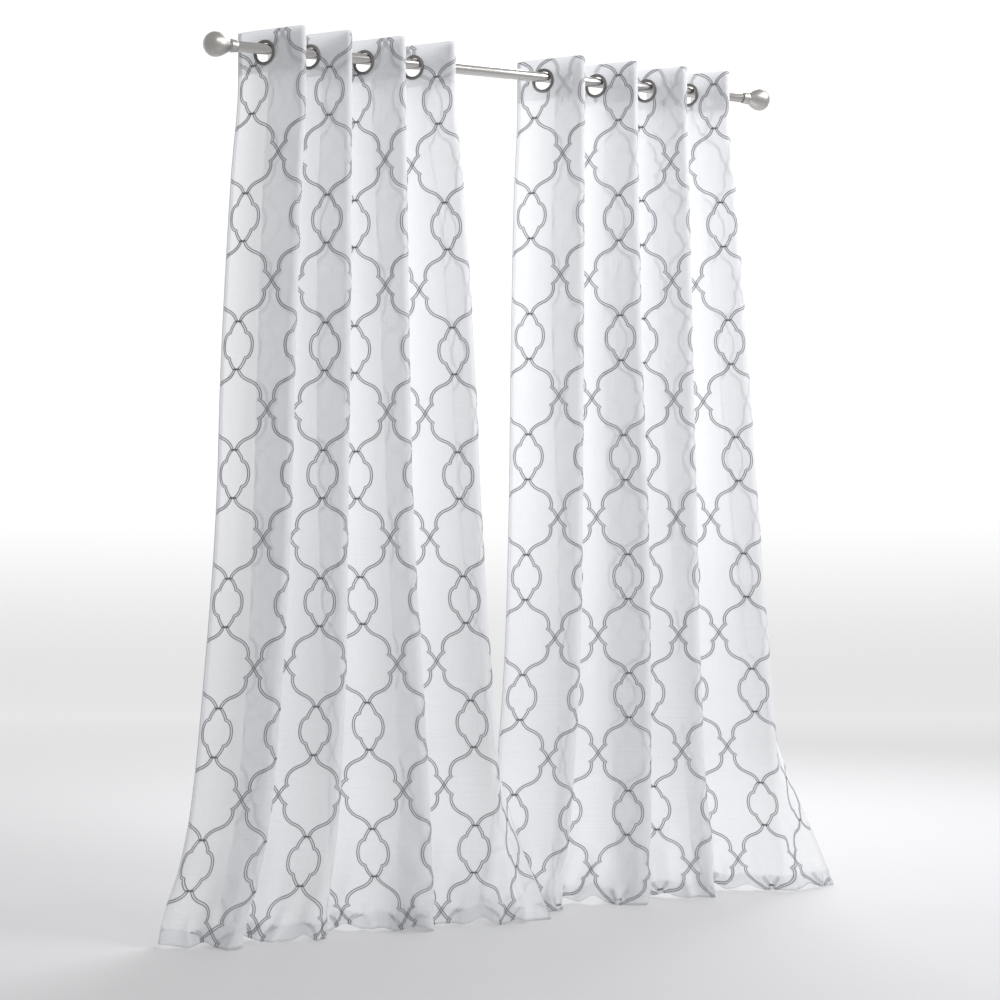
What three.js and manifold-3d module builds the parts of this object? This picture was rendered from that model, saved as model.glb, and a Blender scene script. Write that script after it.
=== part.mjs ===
// A pair of sheer eyelet curtains hanging open on one plain metal rod with ball finials.
// Millimetres, Z up. X runs along the rod, the room is towards -Y and the wall towards +Y.
// The origin is on the rod's axis at the middle of its length.
import * as THREE from "three";
import Module from "manifold-3d";

// Sizes of one finished panel
const panelWidth = 1524;
const headingTop = 45;
const headingBottom = -55;
const floorHeight = -2055;
const clothThickness = 1.2;
const headingThickness = 2.4;
const pieceGap = 0.3;
const eyeletPitch = 195;
const firstEyelet = 79.5;
const eyeletCount = 8;
// The front crest lies this far along the cloth past the last visible eyelet
const lastFlankLength = 100;
// The leading edge curls over this length, and the cloth is straight from there to the eyelet
const leadCurl = 42;

// Eyelet sizes
const eyeletOuterRadius = 29.5;
const eyeletInnerRadius = 22;
const eyeletHoleRadius = 25;
const eyeletFlange = 1.3;
// The rings hang on the rod, so their centres are this far below its axis
const eyeletDrop = 8;
const eyeletSegments = 20;

// Rod and finial sizes
const rodRadius = 12.5;
const rodWall = 1.2;
const rodHalfLength = 694;
const rodSegments = 24;
const finialHalfReach = 760;

// Distance from the finial's tip, and its radius there
const finialProfile = [
  { fromTip: 0, radius: 0 },
  { fromTip: 1.2, radius: 8 },
  { fromTip: 5, radius: 16 },
  { fromTip: 11, radius: 22.5 },
  { fromTip: 19, radius: 27.2 },
  { fromTip: 28, radius: 28.6 },
  { fromTip: 37, radius: 27.4 },
  { fromTip: 46, radius: 23.8 },
  { fromTip: 54, radius: 18.8 },
  { fromTip: 60, radius: 14.6 },
  { fromTip: 61, radius: 12.2 },
  { fromTip: 63.5, radius: 12.2 },
  { fromTip: 64.5, radius: 15.6 },
  { fromTip: 68, radius: 15.4 },
  { fromTip: 74, radius: 14.1 },
  { fromTip: 81, radius: 13.8 },
];
const finialSegments = 24;
const spigotRadius = 10.6;
const spigotReach = 78;

// Each row of these tables is one level cut through a panel.
// flank is the angle of the room-side flanks to the rod, in degrees, and crest is the
// radius of the folds. The folds grow shallower and rounder towards the floor.
const foldShapes = [
  { height: 45, flank: 52, crest: 9 },
  { height: -60, flank: 52, crest: 9 },
  { height: -300, flank: 48, crest: 11 },
  { height: -700, flank: 45, crest: 13 },
  { height: -1100, flank: 44, crest: 15 },
  { height: -1450, flank: 42, crest: 17 },
  { height: -1750, flank: 40, crest: 19 },
  { height: -1900, flank: 38, crest: 20 },
  { height: -2055, flank: 36, crest: 21 },
];

// ring1 to ring7 are where the four room-side flanks cross the rod's plane. lead and tail
// are the angles of the leading and trailing edges to the rod, in degrees. shift is how far
// the whole cut stands off the rod's plane, towards the wall if positive.
const foldPlaces = {
  left: [
    { height: 45, ring1: -614, ring3: -503, ring5: -368, ring7: -241, lead: 75, tail: 98, shift: 0 },
    { height: -60, ring1: -614, ring3: -503, ring5: -368, ring7: -241, lead: 75, tail: 98, shift: 0 },
    { height: -300, ring1: -630, ring3: -510, ring5: -371, ring7: -225, lead: 75, tail: 92, shift: 0 },
    { height: -700, ring1: -651, ring3: -518, ring5: -370, ring7: -201, lead: 75, tail: 90, shift: 0 },
    { height: -1100, ring1: -664, ring3: -527, ring5: -362, ring7: -184, lead: 72, tail: 88, shift: 0 },
    { height: -1450, ring1: -692, ring3: -540, ring5: -346, ring7: -167, lead: 70, tail: 82, shift: -8 },
    { height: -1750, ring1: -728, ring3: -565, ring5: -337, ring7: -154, lead: 76, tail: 62, shift: -22 },
    { height: -1900, ring1: -764, ring3: -589, ring5: -336, ring7: -166, lead: 84, tail: 40, shift: -34 },
    { height: -2055, ring1: -810, ring3: -624, ring5: -333, ring7: -170, lead: 88, tail: 6, shift: -42 },
  ],
  right: [
    { height: 45, ring1: 106, ring3: 253, ring5: 395, ring7: 517, lead: 86, tail: 98, shift: 0 },
    { height: -60, ring1: 106, ring3: 253, ring5: 395, ring7: 517, lead: 86, tail: 98, shift: 0 },
    { height: -300, ring1: 98, ring3: 251, ring5: 397, ring7: 536, lead: 86, tail: 92, shift: 0 },
    { height: -700, ring1: 93, ring3: 260, ring5: 404, ring7: 568, lead: 86, tail: 90, shift: 4 },
    { height: -1100, ring1: 91, ring3: 280, ring5: 416, ring7: 602, lead: 84, tail: 88, shift: 10 },
    { height: -1450, ring1: 86, ring3: 291, ring5: 430, ring7: 638, lead: 82, tail: 80, shift: 22 },
    { height: -1750, ring1: 72, ring3: 298, ring5: 451, ring7: 674, lead: 72, tail: 50, shift: 38 },
    { height: -1900, ring1: 58, ring3: 295, ring5: 470, ring7: 695, lead: 70, tail: 31, shift: 44 },
    { height: -2055, ring1: 30, ring3: 271, ring5: 481, ring7: 717, lead: 70, tail: 9, shift: 48 },
  ],
};

// Rows of the cloth mesh, as heights. They are closest where the folds change most.
const panelHeights = [-175, -300, -430, -560, -700, -840, -980, -1120, -1250, -1370,
  -1480, -1580, -1670, -1750, -1825, -1895, -1955, -2010];
const headingHeights = [-5];

// Points along each run of cloth between two bends
const flankPoints = 2;
const returnPoints = 1;
const crestPoints = 4;
const leadPoints = 2;
const tailPoints = 3;

const degree = Math.PI / 180;
const solveSteps = 40;
// A return flank is at least this steep, and keeps this far from the next flank's angle
const leastMeet = 10 * degree;
const meetMargin = 2 * degree;

const voileColour = 0xeceef2;
const voileRoughness = 0.85;
const eyeletColour = 0x6f6e70;
const rodColour = 0xb4b2af;
const finialColour = 0xa3a19d;
const metalRoughness = 0.35;
// A cutting tool runs this far past the solid it cuts, on each side
const cutOverrun = 10;

const wasm = await Module();
wasm.setup();
const { Manifold, Mesh } = wasm;

// Halves a range until the value at its middle is zero. The value falls as x grows.
function solveFalling(low, high, valueAt) {
  for (let step = 0; step < solveSteps; step += 1) {
    const middle = (low + high) / 2;
    if (valueAt(middle) > 0) {
      low = middle;
    } else {
      high = middle;
    }
  }
  return (low + high) / 2;
}

// Reads a smooth value of every column of one table at a height.
function smoothRow(table, height) {
  let upper = 0;
  while (upper < table.length - 2 && height < table[upper + 1].height) {
    upper += 1;
  }
  const before = table[Math.max(upper - 1, 0)];
  const start = table[upper];
  const end = table[upper + 1];
  const after = table[Math.min(upper + 2, table.length - 1)];
  const span = end.height - start.height;
  const along = (height - start.height) / span;
  const row = {};
  for (const column of Object.keys(start)) {
    const startSlope = (end[column] - before[column]) / (end.height - before.height);
    const endSlope = (after[column] - start[column]) / (after.height - start.height);
    const levelTop = upper === 0 || start.height === table[1].height;
    const slopeIn = levelTop ? 0 : startSlope * span;
    const slopeOut = upper === 0 ? 0 : endSlope * span;
    const square = along * along;
    const cube = square * along;
    const endWeight = 3 * square - 2 * cube;
    row[column] = (1 - endWeight) * start[column] + endWeight * end[column]
      + (cube - 2 * square + along) * slopeIn + (cube - square) * slopeOut;
  }
  return row;
}

// Half a wave: straight out at angle leave, round a crest, straight back at angle meet.
// The ends are base apart along the rod. Returns the two straight lengths and the total.
function halfWave(base, leave, meet, crest) {
  const reach = base - crest * (Math.sin(meet) + Math.sin(leave))
    + crest * (Math.cos(leave) - Math.cos(meet)) * Math.cos(meet) / Math.sin(meet);
  const out = reach * Math.sin(meet) / Math.sin(leave + meet);
  const rise = out * Math.sin(leave) - crest * (Math.cos(leave) - Math.cos(meet));
  const back = rise / Math.sin(meet);
  return { out, back, total: out + back + crest * (leave + meet) };
}

// The return angle that makes half a wave use exactly one eyelet pitch of cloth.
function meetAngle(base, leave, crest) {
  const most = Math.PI - leave - meetMargin;
  const spare = (meet) => eyeletPitch - halfWave(base, leave, meet, crest).total;
  return solveFalling(leastMeet, most, spare);
}

// Runs of cloth in one level cut: each has a length, a start and an end direction and its points.
function clothRuns(row) {
  const rings = [row.ring1, row.ring3, row.ring5, row.ring7];
  const flank = row.flank * degree;
  const tail = row.tail * degree;
  const crest = row.crest;
  const runs = [
    { length: leadCurl, from: -row.lead * degree, to: -flank, points: leadPoints },
    { length: firstEyelet - leadCurl, from: -flank, to: -flank, points: 1, endsAtEyelet: true },
  ];
  for (let fold = 0; fold < rings.length - 1; fold += 1) {
    const pitch = rings[fold + 1] - rings[fold];
    const meet = meetAngle(pitch / 2, flank, crest);
    const wave = halfWave(pitch / 2, flank, meet, crest);
    const bend = crest * (flank + meet);
    runs.push({ length: wave.out, from: -flank, to: -flank, points: flankPoints });
    runs.push({ length: bend, from: -flank, to: meet, points: crestPoints });
    runs.push({ length: wave.back, from: meet, to: meet, points: returnPoints });
    runs.push({ length: wave.back, from: meet, to: meet, points: returnPoints });
    runs.push({ length: bend, from: meet, to: -flank, points: crestPoints });
    runs.push({ length: wave.out, from: -flank, to: -flank, points: flankPoints });
  }
  runs.push({ length: lastFlankLength, from: -flank, to: -flank, points: flankPoints });
  runs.push({ length: crest * (flank + tail), from: -flank, to: tail, points: crestPoints });
  const used = runs.reduce((sum, run) => sum + run.length, 0);
  runs.push({ length: panelWidth - used, from: tail, to: tail, points: tailPoints });
  return runs;
}

// Points of one level cut, each with its distance along the cloth and the cloth's direction.
function levelCut(side, height) {
  const row = { ...smoothRow(foldShapes, height), ...smoothRow(foldPlaces[side], height) };
  const points = [{ along: 0, x: 0, y: 0, direction: -row.lead * degree }];
  let x = 0;
  let y = 0;
  let along = 0;
  let ringAt = null;
  for (const run of clothRuns(row)) {
    const turn = run.to - run.from;
    for (let index = 1; index <= run.points; index += 1) {
      const step = run.length / run.points;
      const middle = run.from + turn * (index - 0.5) / run.points;
      const bendAngle = turn / run.points;
      const chord = bendAngle === 0 ? step : step * Math.sin(bendAngle / 2) / (bendAngle / 2);
      x += chord * Math.cos(middle);
      y += chord * Math.sin(middle);
      along += step;
      points.push({ along, x, y, direction: run.from + turn * index / run.points });
    }
    if (run.endsAtEyelet) {
      ringAt = { x, y };
    }
  }
  return points.map((point) => ({
    ...point,
    x: point.x - ringAt.x + row.ring1,
    y: point.y - ringAt.y + row.shift,
    z: height,
  }));
}

// A closed sheet of even thickness through a grid of level cuts.
function sheetSolid(cuts, thickness) {
  const rows = cuts.length;
  const columns = cuts[0].length;
  const vertices = [];
  const half = thickness / 2;
  for (const side of [-1, 1]) {
    for (const cut of cuts) {
      for (const point of cut) {
        const normalX = -Math.sin(point.direction);
        const normalY = Math.cos(point.direction);
        const out = side * half;
        vertices.push(point.x + out * normalX, point.y + out * normalY, point.z);
      }
    }
  }
  const layer = rows * columns;
  const triangles = [];
  const addQuad = (a, b, c, d) => triangles.push(a, b, c, a, c, d);
  for (let row = 0; row < rows - 1; row += 1) {
    for (let column = 0; column < columns - 1; column += 1) {
      const corner = row * columns + column;
      const below = corner + columns;
      addQuad(corner, below, below + 1, corner + 1);
      addQuad(corner + layer, corner + 1 + layer, below + 1 + layer, below + layer);
    }
  }
  for (let column = 0; column < columns - 1; column += 1) {
    const last = (rows - 1) * columns + column;
    addQuad(column, column + 1, column + 1 + layer, column + layer);
    addQuad(last, last + layer, last + 1 + layer, last + 1);
  }
  for (let row = 0; row < rows - 1; row += 1) {
    const first = row * columns;
    const end = first + columns - 1;
    addQuad(first, first + layer, first + columns + layer, first + columns);
    addQuad(end, end + columns, end + columns + layer, end + layer);
  }
  return new Manifold(new Mesh({
    numProp: 3,
    vertProperties: new Float32Array(vertices),
    triVerts: new Uint32Array(triangles),
  }));
}

function materialOf(colour, roughness, metalness) {
  return new THREE.MeshStandardMaterial({ color: colour, roughness, metalness });
}

function meshFromSolid(name, solid, material) {
  const data = solid.getMesh();
  const geometry = new THREE.BufferGeometry();
  const corners = new Float32Array(data.vertProperties);
  geometry.setAttribute("position", new THREE.BufferAttribute(corners, 3));
  geometry.setIndex(new THREE.BufferAttribute(new Uint32Array(data.triVerts), 1));
  geometry.computeVertexNormals();
  const mesh = new THREE.Mesh(geometry, material);
  mesh.name = name;
  return mesh;
}

// Spins a closed outline of radius and axial places round the X axis.
function spunAlongX(outline, segments) {
  const loop = outline.map((point) => [point.radius, point.axial]);
  const section = new wasm.CrossSection([loop], "NonZero");
  return section.revolve(segments).rotate([0, 90, 0]);
}

// Where an eyelet sits: the place and direction of the cloth at its distance from the edge.
function eyeletPlace(cut, index) {
  const target = firstEyelet + index * eyeletPitch;
  let after = 1;
  while (after < cut.length - 1 && cut[after].along < target) {
    after += 1;
  }
  const before = cut[after - 1];
  const point = cut[after];
  const share = (target - before.along) / (point.along - before.along);
  return {
    x: before.x + (point.x - before.x) * share,
    y: before.y + (point.y - before.y) * share,
    direction: Math.atan2(point.y - before.y, point.x - before.x),
  };
}

// Turns a solid spun about X so that its axis is square to the cloth, and moves it to the rod.
function placeAtEyelet(solid, place) {
  const turn = place.direction / degree + 90;
  return solid.rotate([0, 0, turn]).translate([place.x, place.y, -eyeletDrop]);
}

// A clamped ring: two flanges and a barrel through the cloth, as one turned body.
function eyeletSolid() {
  const inside = headingThickness / 2 + pieceGap;
  const outside = inside + eyeletFlange;
  const barrel = eyeletHoleRadius - pieceGap;
  const outline = [
    { radius: eyeletInnerRadius, axial: -outside },
    { radius: eyeletOuterRadius, axial: -outside },
    { radius: eyeletOuterRadius, axial: -inside },
    { radius: barrel, axial: -inside },
    { radius: barrel, axial: inside },
    { radius: eyeletOuterRadius, axial: inside },
    { radius: eyeletOuterRadius, axial: outside },
    { radius: eyeletInnerRadius, axial: outside },
  ];
  return spunAlongX(outline, eyeletSegments);
}

function rodSolid() {
  const length = 2 * rodHalfLength;
  const inside = rodRadius - rodWall;
  const outer = Manifold.cylinder(length, rodRadius, rodRadius, rodSegments, true);
  const inner = Manifold.cylinder(length + 2 * cutOverrun, inside, inside, rodSegments, true);
  return outer.subtract(inner).rotate([0, 90, 0]);
}

// The ball, its groove and cup, with a spigot inside the tube and a skirt over its end.
function finialSolid(sign) {
  const tubeEnd = finialHalfReach - rodHalfLength - pieceGap;
  const cupEnd = finialProfile[finialProfile.length - 1].fromTip;
  const ball = finialProfile.map((point) => ({
    radius: point.radius,
    axial: finialHalfReach - point.fromTip,
  }));
  const outline = [
    ...ball,
    { radius: rodRadius + pieceGap, axial: finialHalfReach - cupEnd },
    { radius: rodRadius + pieceGap, axial: finialHalfReach - tubeEnd },
    { radius: spigotRadius, axial: finialHalfReach - tubeEnd },
    { radius: spigotRadius, axial: finialHalfReach - spigotReach },
    { radius: 0, axial: finialHalfReach - spigotReach },
  ];
  const solid = spunAlongX(outline, finialSegments);
  return sign > 0 ? solid : solid.mirror([1, 0, 0]);
}

function voile() {
  return materialOf(voileColour, voileRoughness, 0);
}

function metal(colour) {
  return materialOf(colour, metalRoughness, 1);
}

function cutsAt(side, heights) {
  return heights.map((height) => levelCut(side, height));
}

// The doubled strip along the top, with a hole for each eyelet.
function headingSolid(side, places) {
  const cuts = cutsAt(side, [headingTop, ...headingHeights, headingBottom]);
  const length = headingThickness + 2 * cutOverrun;
  const punch = Manifold.cylinder(length, eyeletHoleRadius, eyeletHoleRadius, eyeletSegments, true);
  const holes = places.map((place) => placeAtEyelet(punch.rotate([0, 90, 0]), place));
  return sheetSolid(cuts, headingThickness).subtract(Manifold.union(holes));
}

function buildPanel(side) {
  const topCut = levelCut(side, headingTop);
  const indexes = Array.from({ length: eyeletCount }, (_, index) => index);
  const places = indexes.map((index) => eyeletPlace(topCut, index));
  const cuts = cutsAt(side, [headingBottom - pieceGap, ...panelHeights, floorHeight]);
  const eyelets = indexes.map((index) => {
    const solid = placeAtEyelet(eyeletSolid(), places[index]);
    return meshFromSolid(`eyelet_${side}_${index + 1}`, solid, metal(eyeletColour));
  });
  return [
    meshFromSolid(`panel_${side}`, sheetSolid(cuts, clothThickness), voile()),
    meshFromSolid(`heading_${side}`, headingSolid(side, places), voile()),
    ...eyelets,
  ];
}

const curtains = new THREE.Group();
curtains.name = "sheer_curtain_pair";
curtains.add(...buildPanel("left"), ...buildPanel("right"));
curtains.add(meshFromSolid("rod", rodSolid(), metal(rodColour)));
curtains.add(meshFromSolid("finial_left", finialSolid(-1), metal(finialColour)));
curtains.add(meshFromSolid("finial_right", finialSolid(1), metal(finialColour)));

export default curtains;
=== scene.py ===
import bisect
import math

import bmesh
import bpy
from mathutils import Matrix, Vector


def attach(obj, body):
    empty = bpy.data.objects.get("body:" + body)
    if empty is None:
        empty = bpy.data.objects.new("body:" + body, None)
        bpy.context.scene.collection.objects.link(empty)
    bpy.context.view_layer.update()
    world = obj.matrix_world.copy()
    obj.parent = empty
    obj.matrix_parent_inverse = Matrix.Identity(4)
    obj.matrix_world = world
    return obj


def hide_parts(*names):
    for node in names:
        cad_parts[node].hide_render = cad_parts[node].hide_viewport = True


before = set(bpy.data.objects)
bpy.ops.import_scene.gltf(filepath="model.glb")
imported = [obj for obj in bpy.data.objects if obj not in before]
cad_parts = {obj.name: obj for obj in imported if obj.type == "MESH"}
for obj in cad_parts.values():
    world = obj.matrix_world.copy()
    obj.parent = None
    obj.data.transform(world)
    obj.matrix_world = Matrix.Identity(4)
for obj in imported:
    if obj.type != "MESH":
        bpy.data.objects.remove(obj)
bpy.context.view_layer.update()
mm = 0.001

# The cloth is worked out in millimetres, in the frame of the solids: X along the rod,
# the room towards -Y, Z up, the origin on the rod's axis.


def smoothStep(share):
    share = min(max(share, 0.0), 1.0)
    return share * share * (3 - 2 * share)


def linear(hexColour):
    values = [int(hexColour[i : i + 2], 16) / 255 for i in (1, 3, 5)]
    return [v / 12.92 if v <= 0.04045 else ((v + 0.055) / 1.055) ** 2.4 for v in values] + [1.0]


def newMaterial(name):
    made = bpy.data.materials.new(name)
    made.use_nodes = True
    made.node_tree.nodes.clear()
    return made


# Adds one node, sets its fields and sockets, and links sockets given as (node, socket name)
def addNode(made, kind, fields=None, sockets=None):
    node = made.node_tree.nodes.new(kind)
    for key, value in (fields or {}).items():
        setattr(node, key, value)
    for key, value in (sockets or {}).items():
        if isinstance(value, tuple) and isinstance(value[0], bpy.types.Node):
            made.node_tree.links.new(value[0].outputs[value[1]], node.inputs[key])
        else:
            node.inputs[key].default_value = value
    return node


def meshObject(name, points, faces, uvs=None):
    mesh = bpy.data.meshes.new(name)
    mesh.from_pydata([[c * mm for c in point] for point in points], [], faces)
    mesh.update()
    if uvs:
        layer = mesh.uv_layers.new(name="cloth")
        corners = [index for face in faces for index in face]
        layer.data.foreach_set("uv", [c * mm for index in corners for c in uvs[index]])
    mesh.polygons.foreach_set("use_smooth", [True] * len(mesh.polygons))
    made = bpy.data.objects.new(name, mesh)
    bpy.context.scene.collection.objects.link(made)
    return made


# Materials

# cover is the share of threads, glow the share of the light that comes through them, and
# each slub and pucker size is across and down the cloth, in mm
voileLook = {
    "colour": "#f3f4f6",
    "cover": 0.76,
    "coverSpread": 0.025,
    "glow": 0.3,
    "roughness": 0.85,
    "specular": 0.2,
    "warpSlub": (1.2, 60),
    "weftSlub": (80, 1.2),
    "slubRange": (0.6, 1.4),
    "slantRange": (0.35, 1.0),
    "slantCover": 0.28,
    "pucker": (240, 9),
    "puckerHeight": 1.2,
    "puckerStart": 1200,
    "puckerFull": 1700,
}


# Uneven streaks of a given size in mm, laid by the cloth's own measure
def streaks(made, measure, size):
    scaled = addNode(
        made,
        "ShaderNodeMapping",
        {},
        {"Vector": (measure, "UV"), "Scale": (1 / (size[0] * mm), 1 / (size[1] * mm), 1)},
    )
    return addNode(
        made,
        "ShaderNodeTexNoise",
        {"noise_dimensions": "2D"},
        {"Vector": (scaled, "Vector"), "Scale": 1.0, "Detail": 1.0},
    )


def ranged(made, value, source, target, blend):
    return addNode(
        made,
        "ShaderNodeMapRange",
        {"interpolation_type": blend},
        {
            "Value": value,
            "From Min": source[0],
            "From Max": source[1],
            "To Min": target[0],
            "To Max": target[1],
        },
    )


def combined(made, operation, first, second, clamp=False):
    fields = {"operation": operation, "use_clamp": clamp}
    return addNode(made, "ShaderNodeMath", fields, {0: first, 1: second})


# The share of threads: thicker ones lie at odd places along the weave, and seen at a slant
# the gaps close up, so the folds' edges look denser
def voileCover(made, measure):
    look = voileLook
    warp = streaks(made, measure, look["warpSlub"])
    weft = streaks(made, measure, look["weftSlub"])
    weave = combined(made, "ADD", (warp, "Fac"), (weft, "Fac"))
    limits = (look["cover"] - look["coverSpread"], look["cover"] + look["coverSpread"])
    threads = ranged(made, (weave, "Value"), look["slubRange"], limits, "LINEAR")
    slant = addNode(made, "ShaderNodeLayerWeight", {}, {"Blend": 0.5})
    denser = (0.0, look["slantCover"])
    closed = ranged(made, (slant, "Facing"), look["slantRange"], denser, "SMOOTHSTEP")
    return combined(made, "ADD", (threads, "Result"), (closed, "Result"), True)


# Faint puckers across the lower part of the cloth
def voilePuckers(made, measure):
    look = voileLook
    ripple = streaks(made, measure, look["pucker"])
    place = addNode(made, "ShaderNodeSeparateXYZ", {}, {0: (measure, "UV")})
    stretch = (look["puckerStart"] * mm, look["puckerFull"] * mm)
    lower = ranged(made, (place, "Y"), stretch, (0.0, 1.0), "SMOOTHSTEP")
    height = combined(made, "MULTIPLY", (ripple, "Fac"), (lower, "Result"))
    return addNode(
        made,
        "ShaderNodeBump",
        {},
        {"Strength": 1.0, "Distance": look["puckerHeight"] * mm, "Height": (height, "Value")},
    )


# Plain-woven polyester voile. The Transparent share is the gaps between the threads, and
# the Translucent share lets the light from behind glow through the folds.
def voileMaterial():
    look = voileLook
    made = newMaterial("polyester_voile_plain_weave")
    measure = addNode(made, "ShaderNodeUVMap", {"uv_map": "cloth"})
    front = addNode(
        made,
        "ShaderNodeBsdfPrincipled",
        {},
        {
            "Base Color": linear(look["colour"]),
            "Roughness": look["roughness"],
            "Specular IOR Level": look["specular"],
            "Normal": (voilePuckers(made, measure), "Normal"),
        },
    )
    back = addNode(made, "ShaderNodeBsdfTranslucent", {}, {"Color": linear(look["colour"])})
    gaps = addNode(made, "ShaderNodeBsdfTransparent")
    thread = addNode(
        made, "ShaderNodeMixShader", {}, {0: look["glow"], 1: (front, "BSDF"), 2: (back, "BSDF")}
    )
    cover = voileCover(made, measure)
    woven = addNode(
        made, "ShaderNodeMixShader", {}, {0: (cover, "Value"), 1: (gaps, "BSDF"), 2: (thread, "Shader")}
    )
    addNode(made, "ShaderNodeOutputMaterial", {}, {"Surface": (woven, "Shader")})
    return made


def plainMaterial(name, colour, roughness, metallic):
    made = newMaterial(name)
    shader = addNode(
        made,
        "ShaderNodeBsdfPrincipled",
        {},
        {"Base Color": linear(colour), "Roughness": roughness, "Metallic": metallic},
    )
    addNode(made, "ShaderNodeOutputMaterial", {}, {"Surface": (shader, "BSDF")})
    return made


voileCloth = voileMaterial()
# Rayon satin stitch: denser than the voile, so it reads grey against the light behind it
stitchThread = plainMaterial("rayon_satin_stitch_grey", "#909197", 0.6, 0.0)
# The short bars at the ovals' tips, sewn twice over and darker
knotThread = plainMaterial("rayon_stitch_knot_grey", "#75767c", 0.65, 0.0)
# Dark plated ring with a soft shine on its rolled flange
eyeletMetal = plainMaterial("gunmetal_plated_eyelet", "#858280", 0.32, 1.0)
# Satin nickel plate: a bright line above and a grey underside
rodMetal = plainMaterial("satin_nickel_plated_tube", "#cfcdca", 0.26, 1.0)
# The cast ball is duller than the tube, so its highlight spreads
finialMetal = plainMaterial("satin_nickel_cast_finial", "#c2c0bc", 0.4, 1.0)
print("materials made")

# Cloth

panelSize = {
    "width": 1524,
    "length": 2134,
    "top": 45,
    "floor": -2055,
    "heading": 100,
    "hem": 40,
    "sideHem": 14,
    "pitch": 195,
    "firstEyelet": 79.5,
    "eyelets": 8,
    "lastFlank": 100,
    "leadCurl": 42,
    "holeRadius": 25,
    "eyeletDrop": 8,
    "holeMargin": 0.5,
    "layerGap": 1.2,
    "roll": 0.5,
    "rollRise": 0.4,
    "columnStep": 6,
    "rowStep": 12,
    "headingStep": 6,
    "hemStep": 8,
}

# How the angle of the hidden flanks is found: the least angle, how far it keeps from a
# straight line with the next flank, and the number of halvings
meetSearch = {"least": math.radians(10), "margin": math.radians(2), "steps": 40}

# Level cuts through a panel, as in the solids: flank is the room-side flanks' angle to the
# rod and crest the radius of the folds
foldShapes = [
    {"height": 45, "flank": 52, "crest": 9},
    {"height": -60, "flank": 52, "crest": 9},
    {"height": -300, "flank": 48, "crest": 11},
    {"height": -700, "flank": 45, "crest": 13},
    {"height": -1100, "flank": 44, "crest": 15},
    {"height": -1450, "flank": 42, "crest": 17},
    {"height": -1750, "flank": 40, "crest": 19},
    {"height": -1900, "flank": 38, "crest": 20},
    {"height": -2055, "flank": 36, "crest": 21},
]

# rings are where the four room-side flanks cross the rod's plane, lead and tail the angles
# of the two edges, and shift how far the cut stands off the rod's plane
foldPlaces = {
    "left": [
        {"height": 45, "rings": (-614, -503, -368, -241), "lead": 75, "tail": 98, "shift": 0},
        {"height": -60, "rings": (-614, -503, -368, -241), "lead": 75, "tail": 98, "shift": 0},
        {"height": -300, "rings": (-630, -510, -371, -225), "lead": 75, "tail": 92, "shift": 0},
        {"height": -700, "rings": (-651, -518, -370, -201), "lead": 75, "tail": 90, "shift": 0},
        {"height": -1100, "rings": (-664, -527, -362, -184), "lead": 72, "tail": 88, "shift": 0},
        {"height": -1450, "rings": (-692, -540, -346, -167), "lead": 70, "tail": 82, "shift": -8},
        {"height": -1750, "rings": (-728, -565, -337, -154), "lead": 76, "tail": 62, "shift": -22},
        {"height": -1900, "rings": (-764, -589, -336, -166), "lead": 84, "tail": 40, "shift": -34},
        {"height": -2055, "rings": (-810, -624, -333, -170), "lead": 88, "tail": 6, "shift": -42},
    ],
    "right": [
        {"height": 45, "rings": (106, 253, 395, 517), "lead": 86, "tail": 98, "shift": 0},
        {"height": -60, "rings": (106, 253, 395, 517), "lead": 86, "tail": 98, "shift": 0},
        {"height": -300, "rings": (98, 251, 397, 536), "lead": 86, "tail": 92, "shift": 0},
        {"height": -700, "rings": (93, 260, 404, 568), "lead": 86, "tail": 90, "shift": 4},
        {"height": -1100, "rings": (91, 280, 416, 602), "lead": 84, "tail": 88, "shift": 10},
        {"height": -1450, "rings": (86, 291, 430, 638), "lead": 82, "tail": 80, "shift": 22},
        {"height": -1750, "rings": (72, 298, 451, 674), "lead": 72, "tail": 50, "shift": 38},
        {"height": -1900, "rings": (58, 295, 470, 695), "lead": 70, "tail": 31, "shift": 44},
        {"height": -2055, "rings": (30, 271, 481, 717), "lead": 70, "tail": 9, "shift": 48},
    ],
}

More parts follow.
